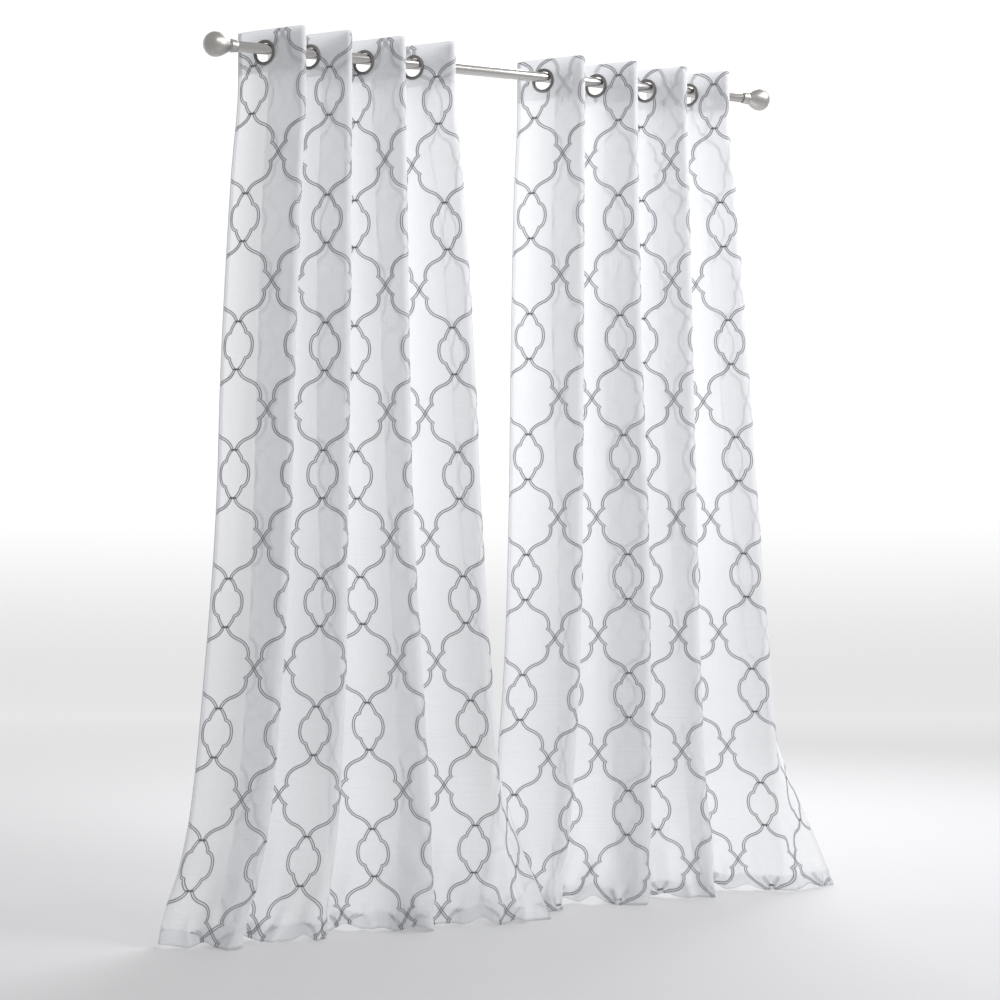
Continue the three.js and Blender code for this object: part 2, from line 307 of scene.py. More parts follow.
# Soft ridges and troughs, listed one by one, each along the cloth's width at its top and bottom
# height. depth is towards the room, and a trough's is negative.
creases = {
    "left": [
        {"at": 60, "top": -120, "to": 40, "bottom": -1500, "wide": 16, "depth": 2.5},
        {"at": 130, "top": -300, "to": 118, "bottom": -1900, "wide": 14, "depth": -2.2},
        {"at": 430, "top": -100, "to": 452, "bottom": -1300, "wide": 13, "depth": 2.4},
        {"at": 505, "top": -250, "to": 520, "bottom": -1750, "wide": 16, "depth": -2.6},
        {"at": 845, "top": -150, "to": 820, "bottom": -1650, "wide": 15, "depth": 2.6},
        {"at": 905, "top": -420, "to": 925, "bottom": -1950, "wide": 14, "depth": -2.2},
        {"at": 1225, "top": -110, "to": 1200, "bottom": -1500, "wide": 15, "depth": 2.4},
        {"at": 1290, "top": -350, "to": 1310, "bottom": -1900, "wide": 17, "depth": -2.8},
        {"at": 30, "top": -1850, "to": 18, "bottom": -2080, "wide": 22, "depth": 7},
        {"at": 95, "top": -1880, "to": 105, "bottom": -2080, "wide": 20, "depth": -6},
        {"at": 160, "top": -1840, "to": 168, "bottom": -2080, "wide": 18, "depth": 8},
        {"at": 390, "top": -1860, "to": 375, "bottom": -2080, "wide": 20, "depth": -7},
        {"at": 450, "top": -1800, "to": 458, "bottom": -2080, "wide": 24, "depth": 9},
        {"at": 535, "top": -1900, "to": 545, "bottom": -2080, "wide": 20, "depth": -7},
        {"at": 790, "top": -1850, "to": 778, "bottom": -2080, "wide": 22, "depth": 8},
        {"at": 862, "top": -1880, "to": 870, "bottom": -2080, "wide": 20, "depth": -7},
        {"at": 935, "top": -1830, "to": 950, "bottom": -2080, "wide": 22, "depth": 8},
        {"at": 1170, "top": -1870, "to": 1160, "bottom": -2080, "wide": 20, "depth": -6},
        {"at": 1240, "top": -1820, "to": 1232, "bottom": -2080, "wide": 24, "depth": 8},
        {"at": 1325, "top": -1890, "to": 1335, "bottom": -2080, "wide": 18, "depth": -6},
        {"at": 1400, "top": -1850, "to": 1412, "bottom": -2080, "wide": 20, "depth": 8},
        {"at": 1475, "top": -1880, "to": 1480, "bottom": -2080, "wide": 18, "depth": -7},
        {"at": 62, "top": -1985, "to": 92, "bottom": -2080, "wide": 10, "depth": 13},
        {"at": 182, "top": -1960, "to": 150, "bottom": -2080, "wide": 11, "depth": -11},
        {"at": 238, "top": -1990, "to": 262, "bottom": -2080, "wide": 10, "depth": 14},
        {"at": 352, "top": -1955, "to": 318, "bottom": -2080, "wide": 11, "depth": 13},
        {"at": 418, "top": -2000, "to": 440, "bottom": -2080, "wide": 9, "depth": -11},
        {"at": 505, "top": -1975, "to": 478, "bottom": -2080, "wide": 11, "depth": 14},
        {"at": 612, "top": -1990, "to": 640, "bottom": -2080, "wide": 10, "depth": 11},
        {"at": 735, "top": -1950, "to": 702, "bottom": -2080, "wide": 11, "depth": -13},
        {"at": 815, "top": -1985, "to": 842, "bottom": -2080, "wide": 10, "depth": 14},
        {"at": 905, "top": -1965, "to": 880, "bottom": -2080, "wide": 11, "depth": 13},
        {"at": 985, "top": -1995, "to": 1012, "bottom": -2080, "wide": 10, "depth": -11},
        {"at": 1115, "top": -1955, "to": 1078, "bottom": -2080, "wide": 11, "depth": 14},
        {"at": 1200, "top": -1990, "to": 1222, "bottom": -2080, "wide": 10, "depth": 13},
        {"at": 1285, "top": -1970, "to": 1262, "bottom": -2080, "wide": 10, "depth": -11},
        {"at": 1385, "top": -1985, "to": 1362, "bottom": -2080, "wide": 11, "depth": 13},
        {"at": 1450, "top": -1960, "to": 1436, "bottom": -2080, "wide": 10, "depth": 14},
    ],
    "right": [
        {"at": 55, "top": -150, "to": 38, "bottom": -1700, "wide": 15, "depth": -2.4},
        {"at": 120, "top": -110, "to": 132, "bottom": -1200, "wide": 14, "depth": 2.4},
        {"at": 440, "top": -200, "to": 420, "bottom": -1800, "wide": 16, "depth": 2.6},
        {"at": 520, "top": -100, "to": 508, "bottom": -1400, "wide": 14, "depth": -2.2},
        {"at": 835, "top": -300, "to": 850, "bottom": -1850, "wide": 15, "depth": -2.6},
        {"at": 900, "top": -120, "to": 880, "bottom": -1300, "wide": 14, "depth": 2.2},
        {"at": 1215, "top": -140, "to": 1235, "bottom": -1700, "wide": 16, "depth": 2.6},
        {"at": 1300, "top": -260, "to": 1285, "bottom": -1900, "wide": 15, "depth": -2.4},
        {"at": 40, "top": -1870, "to": 28, "bottom": -2080, "wide": 20, "depth": -6},
        {"at": 105, "top": -1840, "to": 112, "bottom": -2080, "wide": 22, "depth": 8},
        {"at": 185, "top": -1880, "to": 190, "bottom": -2080, "wide": 18, "depth": -6},
        {"at": 410, "top": -1820, "to": 402, "bottom": -2080, "wide": 24, "depth": 9},
        {"at": 480, "top": -1880, "to": 490, "bottom": -2080, "wide": 20, "depth": -7},
        {"at": 560, "top": -1850, "to": 566, "bottom": -2080, "wide": 20, "depth": 7},
        {"at": 800, "top": -1860, "to": 790, "bottom": -2080, "wide": 20, "depth": -7},
        {"at": 872, "top": -1830, "to": 880, "bottom": -2080, "wide": 24, "depth": 9},
        {"at": 950, "top": -1890, "to": 958, "bottom": -2080, "wide": 18, "depth": -6},
        {"at": 1190, "top": -1850, "to": 1182, "bottom": -2080, "wide": 22, "depth": 8},
        {"at": 1270, "top": -1870, "to": 1278, "bottom": -2080, "wide": 20, "depth": -7},
        {"at": 1350, "top": -1840, "to": 1362, "bottom": -2080, "wide": 22, "depth": 8},
        {"at": 1440, "top": -1880, "to": 1450, "bottom": -2080, "wide": 20, "depth": -7},
        {"at": 70, "top": -1975, "to": 48, "bottom": -2080, "wide": 10, "depth": 14},
        {"at": 158, "top": -1990, "to": 180, "bottom": -2080, "wide": 10, "depth": -11},
        {"at": 248, "top": -1955, "to": 222, "bottom": -2080, "wide": 11, "depth": 13},
        {"at": 348, "top": -1985, "to": 372, "bottom": -2080, "wide": 10, "depth": 14},
        {"at": 438, "top": -1960, "to": 410, "bottom": -2080, "wide": 11, "depth": -11},
        {"at": 515, "top": -1995, "to": 540, "bottom": -2080, "wide": 10, "depth": 13},
        {"at": 622, "top": -1955, "to": 590, "bottom": -2080, "wide": 11, "depth": 14},
        {"at": 722, "top": -1985, "to": 748, "bottom": -2080, "wide": 10, "depth": -11},
        {"at": 828, "top": -1965, "to": 800, "bottom": -2080, "wide": 11, "depth": 13},
        {"at": 908, "top": -1990, "to": 930, "bottom": -2080, "wide": 10, "depth": 14},
        {"at": 1005, "top": -1960, "to": 972, "bottom": -2080, "wide": 11, "depth": -11},
        {"at": 1128, "top": -1985, "to": 1152, "bottom": -2080, "wide": 10, "depth": 14},
        {"at": 1222, "top": -1965, "to": 1196, "bottom": -2080, "wide": 11, "depth": 13},
        {"at": 1305, "top": -1990, "to": 1328, "bottom": -2080, "wide": 10, "depth": -11},
        {"at": 1398, "top": -1960, "to": 1372, "bottom": -2080, "wide": 11, "depth": 14},
        {"at": 1482, "top": -1985, "to": 1470, "bottom": -2080, "wide": 10, "depth": 13},
    ],
}

# A crease fades in and out over this share of its length, and ends this many widths away
creaseFade = 0.3
creaseReach = 3

# Near the floor the spare length buckles: each bulge stands out towards the room over its
# height, and the hem under it rises off the floor.
bulges = {
    "left": [
        {"at": 25, "wide": 31, "depth": 11, "tall": 150, "rise": 6},
        {"at": 118, "wide": 23, "depth": 16, "tall": 110, "rise": 14},
        {"at": 205, "wide": 22, "depth": -11, "tall": 130, "rise": 3},
        {"at": 395, "wide": 27, "depth": 18, "tall": 120, "rise": 19},
        {"at": 470, "wide": 25, "depth": -10, "tall": 160, "rise": 0},
        {"at": 560, "wide": 23, "depth": 15, "tall": 95, "rise": 16},
        {"at": 770, "wide": 25, "depth": 16, "tall": 125, "rise": 13},
        {"at": 850, "wide": 22, "depth": -11, "tall": 140, "rise": 5},
        {"at": 940, "wide": 27, "depth": 16, "tall": 105, "rise": 18},
        {"at": 1160, "wide": 27, "depth": 15, "tall": 115, "rise": 14},
        {"at": 1245, "wide": 23, "depth": -10, "tall": 150, "rise": 3},
        {"at": 1335, "wide": 27, "depth": 18, "tall": 120, "rise": 19},
        {"at": 1420, "wide": 23, "depth": 14, "tall": 85, "rise": 11},
        {"at": 1492, "wide": 20, "depth": -11, "tall": 120, "rise": 0},
    ],
    "right": [
        {"at": 35, "wide": 25, "depth": 12, "tall": 120, "rise": 11},
        {"at": 125, "wide": 25, "depth": 16, "tall": 130, "rise": 16},
        {"at": 215, "wide": 23, "depth": -11, "tall": 140, "rise": 3},
        {"at": 390, "wide": 25, "depth": 15, "tall": 105, "rise": 14},
        {"at": 468, "wide": 23, "depth": 18, "tall": 140, "rise": 19},
        {"at": 550, "wide": 22, "depth": -11, "tall": 120, "rise": 0},
        {"at": 775, "wide": 25, "depth": 16, "tall": 120, "rise": 16},
        {"at": 860, "wide": 25, "depth": 15, "tall": 150, "rise": 10},
        {"at": 945, "wide": 22, "depth": -10, "tall": 110, "rise": 3},
        {"at": 1165, "wide": 25, "depth": 16, "tall": 130, "rise": 18},
        {"at": 1255, "wide": 25, "depth": 15, "tall": 95, "rise": 13},
        {"at": 1350, "wide": 27, "depth": -10, "tall": 140, "rise": 2},
        {"at": 1440, "wide": 25, "depth": 11, "tall": 100, "rise": 10},
    ],
}


# A value from a table at a height, on a smooth curve through the table's rows
def smoothValue(table, height, read):
    upper = 0
    while upper < len(table) - 2 and height < table[upper + 1]["height"]:
        upper += 1
    rows = [table[max(upper - 1, 0)], table[upper], table[upper + 1]]
    rows.append(table[min(upper + 2, len(table) - 1)])
    places = [row["height"] for row in rows]
    values = [read(row) for row in rows]
    span = places[2] - places[1]
    share = (height - places[1]) / span
    slopeIn = 0.0
    slopeOut = 0.0
    if upper > 1:
        slopeIn = (values[2] - values[0]) / (places[2] - places[0]) * span
    if upper > 0:
        slopeOut = (values[3] - values[1]) / (places[3] - places[1]) * span
    square = share * share
    cube = square * share
    end = 3 * square - 2 * cube
    bends = (cube - 2 * square + share) * slopeIn + (cube - square) * slopeOut
    return (1 - end) * values[1] + end * values[2] + bends


# Half a wave of cloth: straight out, round a crest, straight back
def halfWave(base, leave, meet, crest):
    turned = crest * (math.cos(leave) - math.cos(meet))
    reach = base - crest * (math.sin(meet) + math.sin(leave))
    reach += turned * math.cos(meet) / math.sin(meet)
    out = reach * math.sin(meet) / math.sin(leave + meet)
    back = (out * math.sin(leave) - turned) / math.sin(meet)
    return out, back, out + back + crest * (leave + meet)


# The angle back that makes half a wave use one eyelet pitch of cloth
def meetAngle(base, leave, crest):
    low = meetSearch["least"]
    high = math.pi - leave - meetSearch["margin"]
    for _ in range(meetSearch["steps"]):
        middle = (low + high) / 2
        if halfWave(base, leave, middle, crest)[2] < panelSize["pitch"]:
            low = middle
        else:
            high = middle
    return (low + high) / 2


# Where each distance along the cloth lies in the level cut at a height: x, y and direction
def levelCut(side, height, alongs):
    places = foldPlaces[side]
    flank = math.radians(smoothValue(foldShapes, height, lambda row: row["flank"]))
    crest = smoothValue(foldShapes, height, lambda row: row["crest"])
    count = len(places[0]["rings"])
    rings = [smoothValue(places, height, lambda row, i=i: row["rings"][i]) for i in range(count)]
    lead = math.radians(smoothValue(places, height, lambda row: row["lead"]))
    tail = math.radians(smoothValue(places, height, lambda row: row["tail"]))
    shift = smoothValue(places, height, lambda row: row["shift"])
    runs = [
        (panelSize["leadCurl"], -lead, -flank),
        (panelSize["firstEyelet"] - panelSize["leadCurl"], -flank, -flank),
    ]
    for here, following in zip(rings, rings[1:]):
        base = (following - here) / 2
        meet = meetAngle(base, flank, crest)
        out, back, _ = halfWave(base, flank, meet, crest)
        bend = crest * (flank + meet)
        runs += [(out, -flank, -flank), (bend, -flank, meet), (2 * back, meet, meet)]
        runs += [(bend, meet, -flank), (out, -flank, -flank)]
    runs += [(panelSize["lastFlank"], -flank, -flank), (crest * (flank + tail), -flank, tail)]
    runs.append((panelSize["width"] - sum(run[0] for run in runs), tail, tail))

    def step(start, run, distance):
        length, first, last = run
        x, y = start
        if last == first:
            return x + distance * math.cos(first), y + distance * math.sin(first), first
        curve = (last - first) / length
        now = first + curve * distance
        x += (math.sin(now) - math.sin(first)) / curve
        y -= (math.cos(now) - math.cos(first)) / curve
        return x, y, now

    starts = [(0.0, 0.0)]
    begins = [0.0]
    for run in runs:
        starts.append(step(starts[-1], run, run[0])[:2])
        begins.append(begins[-1] + run[0])
    movedX = rings[0] - starts[2][0]
    movedY = shift - starts[2][1]
    found = []
    for along in alongs:
        index = min(max(bisect.bisect_right(begins, along) - 1, 0), len(runs) - 1)
        x, y, direction = step(starts[index], runs[index], along - begins[index])
        found.append((x + movedX, y + movedY, direction))
    return found


# How far the cloth stands out towards the room, from its creases and bulges
def creaseDepth(side, along, height):
    total = 0.0
    for crease in creases[side]:
        if not crease["bottom"] <= height <= crease["top"]:
            continue
        share = (crease["top"] - height) / (crease["top"] - crease["bottom"])
        centre = crease["at"] + (crease["to"] - crease["at"]) * share
        away = (along - centre) / crease["wide"]
        if abs(away) < creaseReach:
            fade = smoothStep(share / creaseFade)
            if crease["bottom"] > panelSize["floor"]:
                fade *= smoothStep((1 - share) / creaseFade)
            total += crease["depth"] * fade * math.exp(-away * away)
    for bulge in bulges[side]:
        above = (height - panelSize["floor"]) / bulge["tall"]
        if above < 1:
            total += bulge["depth"] * math.sin(math.pi * above) * bulgeShare(bulge, along)
    return total


def bulgeShare(bulge, along):
    away = (along - bulge["at"]) / bulge["wide"]
    return math.exp(-away * away)


# How far the hem is lifted, less and less up to the height where the buckling ends
def hemRise(side, along, height):
    total = 0.0
    for bulge in bulges[side]:
        above = (height - panelSize["floor"]) / bulge["tall"]
        if above < 1:
            total += bulge["rise"] * (1 - smoothStep(above)) * bulgeShare(bulge, along)
    return total


# Evenly spaced values from start to end, about a step apart
def spread(start, end, step):
    count = max(1, round(abs(end - start) / step))
    return [start + (end - start) * i / count for i in range(count + 1)]


# Rows from the turned-over heading's lower edge, over the top, down and up into the hem.
# down is the distance along the cloth from the top edge, and behind the layer's depth.
def clothRows():
    size = panelSize
    gap = size["layerGap"]
    roll = size["roll"]
    drop = (size["top"] - size["floor"]) / size["length"]
    low = size["length"] - size["hem"]
    rows = []
    for down in spread(-size["heading"], -2 * roll, size["headingStep"]):
        rows.append({"down": down, "height": size["top"] + down, "behind": gap})
    rows.append({"down": -roll, "height": size["top"] + size["rollRise"], "behind": gap / 2})
    heading = spread(0, size["heading"], size["headingStep"])
    body = spread(size["heading"], low, size["rowStep"])[1:]
    hem = spread(low, size["length"], size["hemStep"])[1:]
    for down in heading + body + hem:
        rows.append({"down": down, "height": size["top"] - down * drop, "behind": 0.0})
    rows.append({"down": size["length"] + roll, "height": size["floor"], "behind": gap / 2})
    for up in spread(2 * roll, size["hem"], size["hemStep"]):
        rows.append({"down": size["length"] + up, "height": size["floor"] + up, "behind": gap})
    return rows


# Columns across the cloth, with the side hems turned over behind. along is measured over
# the hems, and place is where the column lies on the finished panel.
def clothColumns():
    size = panelSize
    hem = size["sideHem"]
    gap = size["layerGap"] / 2
    columns = []
    for past in (hem, hem / 2):
        columns.append({"along": -past, "place": past, "behind": gap})
    for along in spread(0, size["width"], size["columnStep"]):
        columns.append({"along": along, "place": along, "behind": 0.0})
    for past in (hem / 2, hem):
        along = size["width"] + past
        columns.append({"along": along, "place": size["width"] - past, "behind": gap})
    return columns


# One panel's surface as a grid of points
class Cloth:
    def __init__(self, side):
        self.side = side
        self.rows = clothRows()
        self.columns = clothColumns()
        self.downs = [row["down"] for row in self.rows]
        self.alongs = [column["along"] for column in self.columns]
        places = [column["place"] for column in self.columns]
        self.points = []
        for row in self.rows:
            height = min(row["height"], panelSize["top"])
            cut = levelCut(side, height, places)
            line = []
            for column, (x, y, direction) in zip(self.columns, cut):
                away = row["behind"] + column["behind"]
                away -= creaseDepth(side, column["place"], height)
                x -= away * math.sin(direction)
                y += away * math.cos(direction)
                rise = hemRise(side, column["place"], height)
                line.append(Vector((x, y, row["height"] + rise)))
            self.points.append(line)

    # The cloth's surface at a distance along and down it, lifted off its room side
    def at(self, along, down, lift):
        row = min(max(bisect.bisect_right(self.downs, down) - 1, 0), len(self.downs) - 2)
        column = bisect.bisect_right(self.alongs, along) - 1
        column = min(max(column, 0), len(self.alongs) - 2)
        v = (down - self.downs[row]) / (self.downs[row + 1] - self.downs[row])
        u = (along - self.alongs[column]) / (self.alongs[column + 1] - self.alongs[column])
        a, b = self.points[row][column], self.points[row][column + 1]
        c, d = self.points[row + 1][column], self.points[row + 1][column + 1]
        across = (b - a) * (1 - v) + (d - c) * v
        downward = (c - a) * (1 - u) + (d - b) * u
        normal = downward.cross(across).normalized()
        return a * (1 - u) * (1 - v) + b * u * (1 - v) + c * (1 - u) * v + d * u * v + normal * lift


def holeCentres():
    size = panelSize
    return [size["firstEyelet"] + i * size["pitch"] for i in range(size["eyelets"])]


# height is above the rod's axis
def inHole(along, height, radius):
    if height < panelSize["top"] - panelSize["heading"]:
        return False
    rise = height + panelSize["eyeletDrop"]
    return any(math.hypot(along - centre, rise) < radius for centre in holeCentres())


def buildCloth(side):
    cloth = Cloth(side)
    wide = len(cloth.columns)
    points = [point for line in cloth.points for point in line]
    uvs = [(column["along"], row["down"]) for row in cloth.rows for column in cloth.columns]
    faces = []
    for r in range(len(cloth.rows) - 1):
        height = (cloth.rows[r]["height"] + cloth.rows[r + 1]["height"]) / 2
        for c in range(wide - 1):
            place = (cloth.columns[c]["place"] + cloth.columns[c + 1]["place"]) / 2
            if not inHole(place, height, panelSize["holeRadius"] + panelSize["holeMargin"]):
                first = r * wide + c
                faces.append((first, first + wide, first + wide + 1, first + 1))
    made = meshObject(f"voile_{side}", points, faces, uvs)
    made.data.materials.append(voileCloth)
    return cloth, made


# Embroidery: a trellis of notched ovals and medallions, in mm. first is the middle of an
# oval, columns and rows are counted from it, and the lifts are off the cloth's face. Each
# line is sewn as two strands.
trellis = {
    "across": 158,
    "down": 302,
    "first": {"left": (50, 139), "right": (56.5, 89)},
    "columns": range(-1, 11),
    "rows": range(-2, 8),
    "strand": 2.2,
    "apart": 5.0,
    "lift": 0.5,
    "crossLift": 0.85,
    "step": 5,
    "knotAt": 56.5,
    "knotWide": 15,
    "knotTall": 4,
    "knotLift": 1.2,
    "sideEdge": 2,
    "hemEdge": 3,
    "holeOverlap": 1,
}
# Lines from an oval's middle: across and down from it
ovalSide = [(5, -56), (9, -53), (13.5, -46), (18, -38), (20, -30)]
ovalBelly = [(23.5, -29.5), (30, -25), (35.5, -14), (37.5, 0)]
medallionSide = [(5, 57), (8, 64), (14, 72), (25, 80), (40, 86.5), (52, 95), (60, 107)]
medallionSide += [(62.5, 119), (62, 126), (58, 129.5)]
medallionFoot = [(62, 130.5), (67.5, 134.5), (73.5, 142.5), (79, 151)]


# Points every few mm along a smooth line through the given ones
def smoothLine(points, step):
    made = []
    for i in range(len(points) - 1):
        before = points[max(i - 1, 0)]
        start, end = points[i], points[i + 1]
        after = points[min(i + 2, len(points) - 1)]
        count = max(1, round(math.dist(start, end) / step))
        for j in range(count):
            t = j / count
            value = []
            for axis in (0, 1):
                p, a, b, q = before[axis], start[axis], end[axis], after[axis]
                bend = (2 * p - 5 * a + 4 * b - q) * t * t + (3 * a - p - 3 * b + q) * t**3
                value.append(a + ((b - p) * t + bend) / 2)
            made.append(tuple(value))
    made.append(points[-1])
    return made


# A copy of a line, turned over by its signs and moved
def flipped(line, acrossSign, downSign, across=0.0, down=0.0):
    return [(across + acrossSign * x, down + downSign * y) for x, y in line]


# The two sides of an oval, then the two waves that run on to the next row's ovals
def trellisLines():
    step = trellis["step"]
    upper = smoothLine(ovalSide, step) + smoothLine(ovalBelly, step)
    half = upper + flipped(upper[:-1], 1, -1)[::-1]
    outer = smoothLine(medallionSide, step) + smoothLine(medallionFoot, step)
    back = flipped(outer[:-1], -1, -1, trellis["across"], trellis["down"])[::-1]
    wave = outer + back
    return [half, flipped(half, -1, 1), wave, flipped(wave, -1, 1)]


# The strands of one panel, gathered into one mesh
class Ribbons:
    def __init__(self, cloth):
        self.cloth = cloth
        self.points = []
        self.faces = []
        self.uvs = []
        self.slots = []

    def allowed(self, along, down):
        size = panelSize
        edge = trellis["sideEdge"]
        lowest = size["length"] + size["hem"] - trellis["hemEdge"]
        if not edge < along < size["width"] - edge or not edge - size["heading"] < down < lowest:
            return False
        height = size["top"] - abs(down)
        return not inHole(along, height, size["holeRadius"] - trellis["holeOverlap"])

    # A flat strand on each face of the cloth, following a line through (along, down)
    def strand(self, line, offset, wide, lift, slot):
        edges = []
        for i, (x, y) in enumerate(line):
            beforeX, beforeY = line[max(i - 1, 0)]
            afterX, afterY = line[min(i + 1, len(line) - 1)]
            length = math.hypot(afterX - beforeX, afterY - beforeY) or 1.0
            sideX = -(afterY - beforeY) / length
            sideY = (afterX - beforeX) / length
            pair = [
                (x + sideX * (offset + way * wide / 2), y + sideY * (offset + way * wide / 2))
                for way in (-1, 1)
            ]
            edges.append(pair)
        for face in (1, -1):
            last = None
            for i, pair in enumerate(edges):
                if not all(self.allowed(*point) for point in pair):
                    last = None
                    continue
                first = len(self.points)
                for point in pair:
                    self.points.append(self.cloth.at(*point, face * lift))
                    self.uvs.append(point)
                if last is not None:
                    quad = (last, last + 1, first + 1, first)
                    self.faces.append(quad if face > 0 else quad[::-1])
                    self.slots.append(slot)
                last = first


def buildTrellis(side, cloth):
    ribbons = Ribbons(cloth)
    startAlong, startDown = trellis["first"][side]
    lines = trellisLines()
    half = trellis["apart"] / 2
    knotHalf = trellis["knotWide"] / 2
    for k in trellis["columns"]:
        across = startAlong + k * trellis["across"]
        for r in trellis["rows"]:
            down = startDown + r * trellis["down"]
            for index, line in enumerate(lines):
                placed = flipped(line, 1, 1, across, down)
                # The last line crosses the one before it, and lies over it
                lift = trellis["crossLift"] if index == len(lines) - 1 else trellis["lift"]
                for offset in (-half, half):
                    ribbons.strand(placed, offset, trellis["strand"], lift, 0)
            for way in (-1, 1):
                middle = down + way * trellis["knotAt"]
                bar = [(across + x, middle) for x in (-knotHalf, 0, knotHalf)]
                ribbons.strand(bar, 0, trellis["knotTall"], trellis["knotLift"], 1)
    made = meshObject(f"embroidery_{side}", ribbons.points, ribbons.faces, ribbons.uvs)
    made.data.materials.append(stitchThread)
    made.data.materials.append(knotThread)
    made.data.polygons.foreach_set("material_index", ribbons.slots)
    return made


# Metal

# Points closer than this are one
weldDistance = 0.02


# Spins (radius, axial) points round the X axis
def spun(name, outline, segments, closed):
    shape = bmesh.new()
    verts = [shape.verts.new((axial * mm, 0, radius * mm)) for radius, axial in outline]
    for a, b in zip(verts, verts[1:]):
        shape.edges.new((a, b))
    if closed:
        shape.edges.new((verts[-1], verts[0]))
    bmesh.ops.spin(
        shape,
        geom=shape.verts[:] + shape.edges[:],
        cent=(0, 0, 0),
        axis=(1, 0, 0),
        angle=2 * math.pi,
        steps=segments,
        use_merge=True,
        use_duplicate=False,
    )
    bmesh.ops.remove_doubles(shape, verts=shape.verts[:], dist=weldDistance * mm)
    bmesh.ops.recalc_face_normals(shape, faces=shape.faces[:])
    mesh = bpy.data.meshes.new(name)
    shape.to_mesh(mesh)
    shape.free()
    mesh.polygons.foreach_set("use_smooth", [True] * len(mesh.polygons))
    made = bpy.data.objects.new(name, mesh)
    bpy.context.scene.collection.objects.link(made)
    return made


# clear is the room between the cloth and a flange, and barrel its radius in the hole
eyeletSize = {"clear": 0.7, "barrel": 24.4, "segments": 48}

# One flange of a ring, from its rim to the hole: radius, and height above the cloth side
flangeOutline = [
    {"radius": 28.9, "height": 0},
    {"radius": 29.5, "height": 0.5},
    {"radius": 29, "height": 1.1},
    {"radius": 27.5, "height": 1.6},
    {"radius": 25.5, "height": 2.1},
    {"radius": 23.6, "height": 2.1},
    {"radius": 22.5, "height": 1.6},
    {"radius": 22, "height": 0},
]


# A rolled ring: two domed flanges joined by the barrel in the hole
def eyeletOutline():
    seat = panelSize["layerGap"] / 2 + eyeletSize["clear"]
    front = [(point["radius"], seat + point["height"]) for point in flangeOutline]
    back = [(radius, -axial) for radius, axial in front[::-1]]
    barrel = eyeletSize["barrel"]
    return front + [(front[-1][0], 0.0)] + back + [(barrel, -seat), (barrel, seat)]


def buildEyelets(side):
    made = []
    cut = levelCut(side, 0, holeCentres())
    for index, (x, y, direction) in enumerate(cut):
        ring = spun(f"ring_{side}_{index + 1}", eyeletOutline(), eyeletSize["segments"], True)
        away = panelSize["layerGap"] / 2
        x -= away * math.sin(direction)
        y += away * math.cos(direction)
        place = Matrix.Translation(Vector((x, y, -panelSize["eyeletDrop"])) * mm)
        ring.data.transform(place @ Matrix.Rotation(direction + math.pi / 2, 4, "Z"))
        ring.data.materials.append(eyeletMetal)
        made.append(ring)
    return made


rodSize = {"radius": 12.5, "wall": 1.2, "half": 694, "chamfer": 0.3, "segments": 64}


def buildRod():
    outer = rodSize["radius"]
    inner = outer - rodSize["wall"]
    half = rodSize["half"]
    edge = rodSize["chamfer"]
    outline = [(outer, -half + edge), (outer, half - edge), (outer - edge, half)]
    outline += [(inner, half), (inner, -half), (outer - edge, -half)]
    made = spun("rod_tube", outline, rodSize["segments"], True)
    made.data.materials.append(rodMetal)
    return made


# reach is the tip's distance from the middle of the rod, and step is along the ball's outline
finialSize = {"reach": 760, "step": 1.5, "segments": 64}

# The finial's outline: distance from its tip and radius there
finialOutline = [
    {"fromTip": 0, "radius": 0},
    {"fromTip": 1.2, "radius": 8},
    {"fromTip": 5, "radius": 16},
    {"fromTip": 11, "radius": 22.5},
    {"fromTip": 19, "radius": 27.2},
    {"fromTip": 28, "radius": 28.6},
    {"fromTip": 37, "radius": 27.4},
    {"fromTip": 46, "radius": 23.8},
    {"fromTip": 54, "radius": 18.8},
    {"fromTip": 60, "radius": 14.8},
]
# The groove and the cup over the tube's end
cupOutline = [
    {"fromTip": 60.6, "radius": 12.4},
    {"fromTip": 63.6, "radius": 12.2},
    {"fromTip": 64.4, "radius": 15.2},
    {"fromTip": 65.6, "radius": 15.7},
    {"fromTip": 68, "radius": 15.3},
    {"fromTip": 74, "radius": 14.1},
    {"fromTip": 80.4, "radius": 13.8},
    {"fromTip": 81, "radius": 13.2},
    {"fromTip": 80.6, "radius": 12.7},
    {"fromTip": 68, "radius": 12.7},
]


def buildFinial(name, sign):
    rounded = [(point["fromTip"], point["radius"]) for point in finialOutline]
    ball = smoothLine(rounded, finialSize["step"])
    cup = [(point["fromTip"], point["radius"]) for point in cupOutline]
    outline = [(max(radius, 0.0), finialSize["reach"] - tip) for tip, radius in ball + cup]
    outline.append((0.0, outline[-1][1]))
    made = spun(name, outline, finialSize["segments"], False)
    if sign < 0:
        made.data.transform(Matrix.Scale(-1, 4, (1, 0, 0)))
        made.data.flip_normals()
    made.data.materials.append(finialMetal)
    return made


# Every piece rides the one body, and the embroidery stands for no solid
for side in ("left", "right"):
    cloth, panel = buildCloth(side)
    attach(panel, "root")
    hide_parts(f"panel_{side}", f"heading_{side}")
    print("cloth", side, len(panel.data.polygons))
    stitched = buildTrellis(side, cloth)
    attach(stitched, "root")
    print("embroidery", side, len(stitched.data.polygons))
    for index, ring in enumerate(buildEyelets(side)):
        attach(ring, "root")
        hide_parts(f"eyelet_{side}_{index + 1}")

rod = buildRod()
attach(rod, "root")
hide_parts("rod")
for side, sign in (("left", -1), ("right", 1)):
    finial = buildFinial(f"ball_{side}", sign)
    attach(finial, "root")
    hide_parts(f"finial_{side}")
print("metal made")
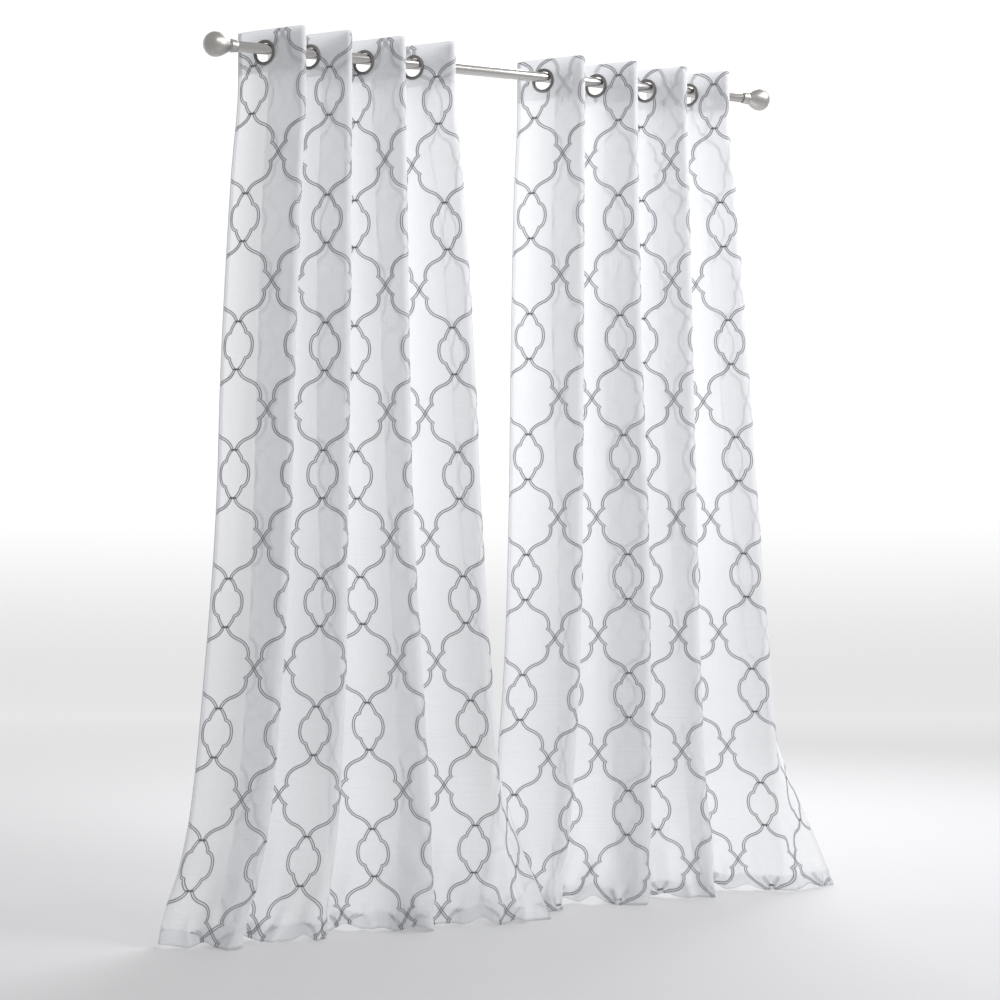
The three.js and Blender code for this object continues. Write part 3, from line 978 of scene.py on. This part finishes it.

# Stage, in metres

# near, far and bright are how much the floor glows under and in front of the curtains, at
# its far end, and the backdrop once it has risen by fade. This glow is painted light: dim in
# front as painted shade, brightest up the backdrop as painted window light from behind
stageSize = {
    "floor": -2.0562,
    "wide": 14,
    "front": 10,
    "back": 8,
    "bend": 3,
    "bendSteps": 24,
    "rise": 9,
    "near": 0.22,
    "far": 0.48,
    "bright": 0.8,
    "fade": 1.3,
}
viewAngle = math.radians(25.2)


# A floor that bends up into a backdrop, square to the camera
def buildStage():
    size = stageSize
    side = Vector((math.cos(viewAngle), -math.sin(viewAngle), 0))
    away = Vector((math.sin(viewAngle), math.cos(viewAngle), 0))
    level = [(-size["front"], 0.0), (0.0, 0.0)]
    rising = []
    for i in range(size["bendSteps"] + 1):
        turn = math.pi / 2 * i / size["bendSteps"]
        reach = size["back"] - size["bend"] + size["bend"] * math.sin(turn)
        rising.append((reach, size["bend"] * (1 - math.cos(turn))))
    rising.append((size["back"], size["rise"]))
    points = []
    for reach, height in level + rising:
        for way in (-1, 1):
            place = away * reach + side * way * size["wide"]
            points.append((place.x / mm, place.y / mm, (size["floor"] + height) / mm))
    faces = [(i, i + 1, i + 3, i + 2) for i in range(0, len(points) - 2, 2)]
    made = meshObject("backdrop", points, faces)
    glow = made.data.attributes.new("glow", "FLOAT", "POINT")
    # Painted light: the glow is dimmest on the floor in front, brighter towards its far end and
    # brightest up the backdrop
    values = [size["near"]] * 2 * len(level)
    for _, height in rising:
        share = smoothStep(height / size["fade"])
        values += [size["far"] + (size["bright"] - size["far"]) * share] * 2
    glow.data.foreach_set("value", values)
    return made


# Pale paper with painted light from behind: its emission is dim on the floor in front of and
# under the curtains and brightest where it rises, so that the cloth has light to glow in
def paperMaterial():
    made = newMaterial("studio_paper_painted_glow")
    glow = addNode(made, "ShaderNodeAttribute", {"attribute_name": "glow"})
    shader = addNode(
        made,
        "ShaderNodeBsdfPrincipled",
        {},
        {
            "Base Color": linear("#a8a8aa"),
            "Roughness": 0.9,
            "Emission Color": linear("#ffffff"),
            "Emission Strength": (glow, "Fac"),
        },
    )
    addNode(made, "ShaderNodeOutputMaterial", {}, {"Surface": (shader, "BSDF")})
    return made


backdrop = buildStage()
backdrop.data.materials.append(paperMaterial())

lamps = [
    {"name": "behind", "place": (1.8, 1.8, 1.0), "aim": (0.4, 0, -0.1), "wide": 2.2, "power": 112},
    {"name": "right", "place": (2.1, -1.8, 1.4), "aim": (0.4, 0, 0.1), "wide": 1.3, "power": 72},
    {"name": "fill", "place": (0.4, -3.4, 2.0), "aim": (0, 0, 0.4), "wide": 0.8, "power": 26},
]
for lamp in lamps:
    data = bpy.data.lights.new(lamp["name"], "AREA")
    data.size = lamp["wide"]
    data.energy = lamp["power"]
    light = bpy.data.objects.new(lamp["name"], data)
    light.location = lamp["place"]
    light.visible_camera = False
    towards = Vector(lamp["aim"]) - Vector(lamp["place"])
    light.rotation_euler = towards.to_track_quat("-Z", "Y").to_euler()
    bpy.context.scene.collection.objects.link(light)

worldLight = 0.5
world = bpy.data.worlds.new("studio")
world.use_nodes = True
sky = world.node_tree.nodes["Background"]
sky.inputs["Color"].default_value = (1, 1, 1, 1)
sky.inputs["Strength"].default_value = worldLight
bpy.context.scene.world = world

# From the left, about level with the middle of the drop, far back with a long lens
cameraView = {"place": (-2.1481, -4.5407, -1.085), "lens": 74.088, "sensor": 36, "shift": 0.018}
camera = bpy.data.objects.new("camera", bpy.data.cameras.new("camera"))
camera.data.sensor_width = cameraView["sensor"]
camera.data.lens = cameraView["lens"]
camera.data.shift_y = cameraView["shift"]
camera.location = cameraView["place"]
camera.rotation_euler = (math.pi / 2, 0, -viewAngle)
bpy.context.scene.collection.objects.link(camera)
bpy.context.scene.camera = camera
bpy.context.scene.view_settings.view_transform = "Standard"

print("stage made")
